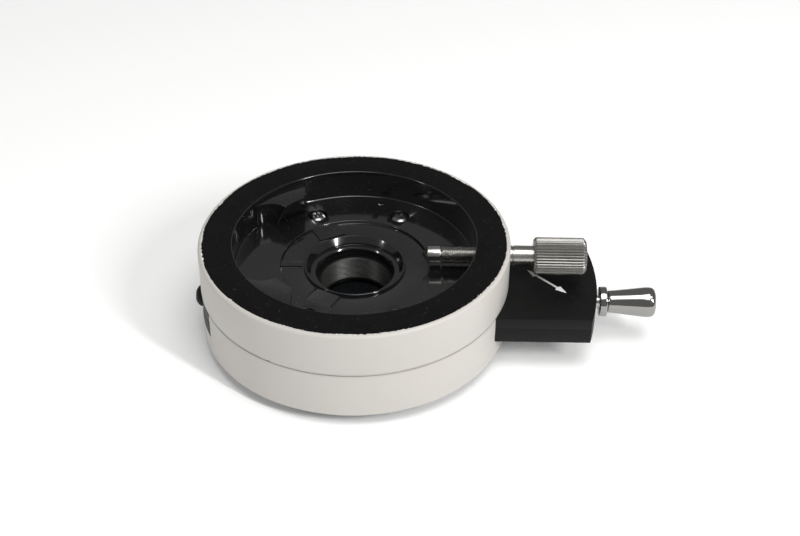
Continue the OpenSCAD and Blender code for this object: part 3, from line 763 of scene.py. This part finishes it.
def bar_block(name, z0, z1):
    """A length of the bar between two heights, with its round ends."""
    left = [(-math.sqrt(land_r ** 2 - y * y), y) for y in
            (bar_high.y + (bar_low.y - bar_high.y) * k / 40 for k in range(41))]
    rightward = [(math.sqrt(end_r ** 2 - y * y), y) for y in
                 (bar_low.y + (bar_high.y - bar_low.y) * k / 60 for k in range(61))]
    mesh = bmesh.new()
    low = [mesh.verts.new((x * MM, y * MM, z0 * MM)) for x, y in left + rightward]
    high = [mesh.verts.new((x * MM, y * MM, z1 * MM)) for x, y in left + rightward]
    for i in range(len(low)):
        k = (i + 1) % len(low)
        mesh.faces.new((low[i], low[k], high[k], high[i]))
    mesh.faces.new(low)
    mesh.faces.new(high)
    return new_piece(name, mesh)


def dress(name, material):
    """Puts a finish on a CAD node that keeps its shape."""
    nodes[name].data.materials.clear()
    nodes[name].data.materials.append(material)


rod_y, rod_z = rod_axis[0] / MM, rod_axis[1] / MM
seat_x, button_r = -49.1, 3.6
frame_low, frame_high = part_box("slider_frame")[0] / MM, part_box("slider_frame")[1] / MM
pocket_start, pocket_end, pocket_gap = (-15, -15), (46, 12.8), 0.12
rod_bore_r, bush_bore_r = 2.5, 3.4
for name, z0, z1 in (("housing_base", bar_low.z, seam_h), ("housing_cover", seam_h, bar_high.z)):
    bar = bar_block(name + "_milled", z0, z1)
    add_finishes(bar, anodised)
    pocket_tool = bmesh.new()
    add_block(pocket_tool, (*pocket_start, max(frame_low.z - pocket_gap, z0 - 1)),
              (*pocket_end, min(frame_high.z + pocket_gap, z1 + 1)))
    shape(bar, pocket_tool, anodised)
    path_tool = bmesh.new()
    if name == "housing_cover":
        add_rod(path_tool, throat_r, (0, 0, z0 - 1), (0, 0, z1 + 1), 128)
    else:
        add_block(path_tool, (-cell_path_r, -cell_path_r, z0 - 1), (cell_path_end, cell_path_r, z1 + 1))
    shape(bar, path_tool, anodised)
    seat_tool = bmesh.new()
    add_rod(seat_tool, button_r + 0.05, (seat_x, rod_y, rod_z), (-ring_r - 1, rod_y, rod_z))
    shape(bar, seat_tool, anodised)
    rod_tool = bmesh.new()
    add_rod(rod_tool, rod_bore_r, (45, rod_y, rod_z), (71, rod_y, rod_z))
    shape(bar, rod_tool, anodised)
    bush_tool = bmesh.new()
    add_rod(bush_tool, bush_bore_r, (70, rod_y, rod_z), (82, rod_y, rod_z))
    shape(bar, bush_tool, anodised)
    if name == "housing_cover":
        engraving = bmesh.new()
        engraving.from_mesh(nodes["arrow_inlay"].data)
        bmesh.ops.remove_doubles(engraving, verts=engraving.verts, dist=0.001 * MM)
        for corner in engraving.verts:
            if corner.co.z > (z1 - 0.15) * MM:
                corner.co.z = (z1 + 0.5) * MM
        shape(bar, engraving, anodised)
    break_edges(bar, 0.16)
    mount(bar, "ring_body", "black_satin", name)
dress("arrow_inlay", filling)
dress("guide_bush", bronze)
dress("housing_screws", plain_steel)
dress("jaw_screws", plain_steel)
dress("dowel_pins", plain_steel)
dress("detent_plug", plain_steel)
dress("detent_ball", head_steel)


# ---- Detent spring -----------------------------------------------------------------------
# A small coil of music wire that presses the detent ball into the slider's groove.
spring_low, spring_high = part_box("detent_spring")
wire_r = 0.2 * MM
wanted = {"Turns": ("Float", 5.0), "Coil radius": ("Float", (spring_high.x - spring_low.x) / 2 - wire_r),
          "Length": ("Float", spring_high.y - spring_low.y - 2 * wire_r),
          "Wire radius": ("Float", wire_r), "Finish": ("Material", plain_steel)}
spring_tree, given, keys = new_maker("coil_spring", wanted)
spiral = node(spring_tree, "GeometryNodeCurveSpiral", {
    "Resolution": 24, "Rotations": given["Turns"], "Start Radius": given["Coil radius"],
    "End Radius": given["Coil radius"], "Height": given["Length"]})
wire_round = node(spring_tree, "GeometryNodeCurvePrimitiveCircle", {
    "Resolution": 10, "Radius": given["Wire radius"]})
wire = node(spring_tree, "GeometryNodeCurveToMesh", {
    "Curve": spiral.outputs["Curve"], "Profile Curve": wire_round.outputs["Curve"], "Fill Caps": True})
spring = bpy.data.objects.new("detent_spring_coil", bpy.data.meshes.new("detent_spring_coil"))
stage.collection.objects.link(spring)
run_maker(spring, spring_tree, given, keys, wanted, wire.outputs["Mesh"])
spring_middle = (spring_low + spring_high) / 2
spring.data.transform(Matrix.Translation((spring_middle.x, spring_low.y + wire_r, spring_middle.z))
                      @ Matrix.Rotation(-math.pi / 2, 4, "X"))
mount(spring, "ring_body", "stainless", "detent_spring")


# ---- Ridges cut round a turned piece -----------------------------------------------------
# One tree cuts screw threads and straight knurls: it presses the surface in along ridges
# that run round the piece, along it, or both, between two places on its axis.
def cut_ridges(piece, finish, across, rising, depth, sharpness, first, last, runout, least_r):
    """Cuts ridges about X: across of them round the piece, rising of them per millimetre."""
    sizes = {"Ridges around": across, "Ridges per metre": rising / MM, "Depth": depth * MM,
             "Sharpness": sharpness, "From": first * MM, "To": last * MM,
             "Run-out": runout * MM, "Least radius": least_r * MM}
    wanted = {title: ("Float", float(value)) for title, value in sizes.items()}
    wanted["Finish"] = ("Material", finish)
    tree, given, keys = new_maker("ridges_" + piece.name, wanted)

    def maths(operation, *terms):
        return node(tree, "ShaderNodeMath", dict(enumerate(terms)), operation=operation).outputs[0]

    where = node(tree, "ShaderNodeSeparateXYZ", {0: node(tree, "GeometryNodeInputPosition", {}).outputs[0]})
    x, y, z = where.outputs
    around_turn = maths("DIVIDE", maths("ARCTAN2", z, y), 2 * math.pi)
    phase = maths("MULTIPLY_ADD", around_turn, given["Ridges around"],
                  maths("MULTIPLY", x, given["Ridges per metre"]))
    wave = maths("ABSOLUTE", maths("MULTIPLY_ADD", maths("FRACT", phase), 2.0, -1.0))
    groove = maths("POWER", wave, given["Sharpness"])
    enter = maths("DIVIDE", maths("SUBTRACT", x, given["From"]), given["Run-out"])
    leave = maths("DIVIDE", maths("SUBTRACT", given["To"], x), given["Run-out"])
    inside = maths("MINIMUM", maths("MINIMUM", enter, leave), 1.0)
    press = maths("MULTIPLY", maths("MULTIPLY", groove, maths("MAXIMUM", inside, 0.0)), given["Depth"])
    flat = node(tree, "ShaderNodeCombineXYZ", {"Y": y, "Z": z})
    outward = node(tree, "ShaderNodeVectorMath", {0: flat.outputs[0]}, operation="NORMALIZE")
    length = node(tree, "ShaderNodeVectorMath", {0: flat.outputs[0]}, operation="LENGTH")
    push = node(tree, "ShaderNodeVectorMath", {
        0: outward.outputs[0], "Scale": maths("MULTIPLY", press, -1.0)}, operation="SCALE")
    chosen = node(tree, "FunctionNodeCompare", {
        0: length.outputs["Value"], 1: given["Least radius"]}, operation="GREATER_THAN")
    moved = node(tree, "GeometryNodeSetPosition", {
        "Geometry": given["Geometry"], "Selection": chosen.outputs[0], "Offset": push.outputs[0]})
    run_maker(piece, tree, given, keys, wanted, moved.outputs["Geometry"])
    piece.data.set_sharp_from_angle(angle=crease)


def stations(first, last, r, count):
    """Evenly spaced profile corners along a straight cylinder."""
    return [(r, first + (last - first) * k / count, 0, 0) for k in range(count + 1)]


# ---- Clamp screw -------------------------------------------------------------------------
# A stainless screw with a fine right-hand thread through the ring's wall and a long straight
# knurl on its head. Its free-turning pointed tip pushes the tube's dovetail into the jaws.
tip_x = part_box("thrust_tip")[0].x / MM
screw_low, screw_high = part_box("thumbscrew")[0].x / MM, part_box("thumbscrew")[1].x / MM
head_x = ring_r + 7.5
head_r = (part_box("thumbscrew")[1].z / MM) - clamp_z
tip = turned("thrust_tip_turned", [
    (0, tip_x, 0, 0), (1.9, tip_x + 1.4, 0.1, 0), (2.85, tip_x + 2.0, 0.25, 0),
    (2.85, tip_x + 6.1, 0.12, 0), (1.4, tip_x + 6.1, 0, 0), (1.4, tip_x + 11.4, 0, 0),
    (0, tip_x + 11.4, 0, 0)], segments=96, along_x=True, at=(0, 0, clamp_z))
add_finishes(tip, stainless)
mount(tip, "clamp_tip", "stainless", "thrust_tip")

pitch, thread_r, thread_end, neck_r = 0.75, 3.0, ring_r - 1, 3.3
shank = turned("thumbscrew_shank", [
    (1.45, screw_low, 0, 0), (2.55, screw_low, 0, 0), (2.95, screw_low + 0.35, 0, 0)]
    + stations(screw_low + 0.45, thread_end, thread_r, 280)
    + [(neck_r, thread_end + 0.2, 0.1, 0), (neck_r, thread_end + 1.6, 0, 0),
       (3.1, thread_end + 1.75, 0, 0), (3.1, thread_end + 2.0, 0, 0),
       (neck_r, thread_end + 2.15, 0, 0), (neck_r, head_x + 0.3, 0, 0),
       (1.45, head_x + 0.3, 0, 0)],
    segments=80, along_x=True)
cut_ridges(shank, stainless, 1, -1 / pitch, 0.42, 1.0, screw_low + 0.3, thread_end, 0.6, 2.9)
shank.data.transform(Matrix.Translation((0, 0, clamp_z * MM)))
mount(shank, "clamp_screw", "stainless")

head = turned("thumbscrew_head", [
    (0, head_x, 0, 0), (head_r - 0.75, head_x, 0.12, 0)]
    + stations(head_x + 0.7, screw_high - 0.9, head_r, 36)
    + [(head_r - 0.95, screw_high, 0.15, 0), (0, screw_high, 0, 0)], segments=360, along_x=True)
cut_ridges(head, knurled_steel, 36, 0, 0.5, 1.4, head_x - 0.4, screw_high + 0.3, 0.9, head_r - 0.8)
head.data.transform(Matrix.Translation((0, 0, clamp_z * MM)))
mount(head, "clamp_screw", "stainless", "thumbscrew")


# ---- Polariser cell ----------------------------------------------------------------------
# The cell that the slider carries: a sleeve with a fine thread all the way down, blackened
# but rubbed grey on its crests, with the dark polarising glass held at the bottom.
blackened, tree, shader = new_material("blackened_thread", {"Metallic": 0.5})
place, split, radius = object_place(tree)
crest = use_group(tree, grain, {"Place": place, "Scale": 1500.0})
from_crest = ramp(tree, radius, 10.95 * MM, 11.2 * MM, 1.0, 0.0)
rubbed = node(tree, "ShaderNodeMath", {0: from_crest, 1: crest.outputs["Tone"]}, operation="MULTIPLY")
tree.links.new(blend(tree, rubbed.outputs[0], (0.006, 0.006, 0.006, 1), (0.075, 0.073, 0.069, 1)),
               shader.inputs["Base Color"])
tree.links.new(ramp(tree, crest.outputs["Tone"], 0.3, 0.7, 0.3, 0.5), shader.inputs["Roughness"])
bump(tree, shader, crest.outputs["Height"], 0.04 * MM, 0.8)

cell_top, cell_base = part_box("polariser_cell")[1].z / MM, cell_low.z
bore_r, cell_pitch = 10.9, 0.5
cell = turned("polariser_cell_turned", [
    (10.2, cell_base, 0, 0), (12, cell_base, 0.2, 0), (12, cell_top, 0.2, 0), (11.4, cell_top, 0.1, 0)]
    + [(bore_r, z, 0, 0) for _, z, _, _ in stations(cell_top - 0.4, cell_base + 2.4, bore_r, 180)]
    + [(11.3, cell_base + 2.4, 0, 0), (11.3, cell_base + 0.6, 0, 0), (10.2, cell_base + 0.6, 0, 0)],
    segments=160, along_x=True)
cut_ridges(cell, blackened, 1, 1 / cell_pitch, -0.25, 1.0, cell_base + 2.3, cell_top - 0.3, 0.3, 10.85)
cell.data.transform(Matrix(((0, 1, 0), (0, 0, 1), (1, 0, 0))).to_4x4())
mount(cell, "slider", "bare_aluminium", "polariser_cell")

glass, tree, shader = new_material("polariser_glass", {
    "Base Color": (0.05, 0.055, 0.06, 1), "Transmission Weight": 1.0, "IOR": 1.52})
place, split, radius = object_place(tree)
film = use_group(tree, grain, {"Place": place, "Scale": 120.0})
tree.links.new(ramp(tree, film.outputs["Tone"], 0.3, 0.7, 0.02, 0.07), shader.inputs["Roughness"])
glass_low, glass_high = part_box("polariser_glass")
disc_r = glass_high.x / MM
disc = turned("polariser_disc", [
    (0, glass_low.z / MM, 0, 0), (disc_r, glass_low.z / MM, 0.15, 0),
    (disc_r, glass_high.z / MM, 0.15, 0), (0, glass_high.z / MM, 0, 0)], segments=128)
add_finishes(disc, glass)
mount(disc, "slider", "polariser_film", "polariser_glass")
dress("glass_ring", anodised)
dress("slider_frame", anodised)
dress("rod_pin", plain_steel)
dress("pull_rod", rod_steel)


# ---- Pull collar and knob ----------------------------------------------------------------
# A plain locking collar and a waisted knob that flares to a rounded end, both turned in
# brass and chromed. They pull the polariser out of the light along the bar.
collar_low, collar_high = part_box("pull_collar")
collar_r = (collar_high.z - collar_low.z) / 2 / MM
collar = turned("pull_collar_turned", [
    (2.0, collar_low.x / MM, 0, 0), (collar_r, collar_low.x / MM, 0.4, 0),
    (collar_r, collar_high.x / MM, 0.4, 0), (2.0, collar_high.x / MM, 0, 0)],
    segments=128, along_x=True, at=(0, rod_y, rod_z))
add_finishes(collar, chrome)
mount(collar, "slider", "polished_chrome", "pull_collar")

knob_low, knob_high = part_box("pull_knob")
knob_r = (knob_high.z - knob_low.z) / 2 / MM
knob_x0, knob_x1 = knob_low.x / MM, knob_high.x / MM
flare = [(3.6 + (knob_r - 3.6) * (k / 16) ** 1.15, knob_x0 + 0.3 + (knob_x1 - 3.2 - knob_x0) * k / 16, 0, 0)
         for k in range(16)]
knob = turned("pull_knob_turned", [
    (0, knob_x0, 0, 0), (3.35, knob_x0, 0, 0)] + flare
    + [(knob_r, knob_x1 - 2.2, 0.9, 0), (knob_r - 0.25, knob_x1, 1.5, 0), (0, knob_x1, 0, 0)],
    segments=128, along_x=True, at=(0, rod_y, rod_z))
add_finishes(knob, chrome)
mount(knob, "slider", "polished_chrome", "pull_knob")


# ---- Button screw ------------------------------------------------------------------------
# A black button-head screw with a hexagon socket, in a flat seat at the bar's left end, in
# line with the pull rod.
head_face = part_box("button_screw")[0].x / MM
button = turned("button_screw_turned", [
    (0, seat_x + 6, 0, 0), (1.45, seat_x + 6, 0.2, 0), (1.45, seat_x, 0, 0),
    (button_r, seat_x, 0.1, 0), (button_r, seat_x - 0.8, 0.3, 0),
    (button_r - 0.6, seat_x - 1.75, 0.9, 0), (1.9, head_face + 0.12, 1.0, 0),
    (0, head_face, 0, 0)], segments=96, along_x=True, at=(0, rod_y, rod_z))
hexagon = bmesh.new()
add_rod(hexagon, 1.35, (seat_x - 4, rod_y, rod_z), (seat_x - 1.4, rod_y, rod_z), 6)
add_finishes(button, anodised)
shape(button, hexagon, anodised)
break_edges(button, 0.06, 40)
mount(button, "ring_body", "black_satin", "button_screw")
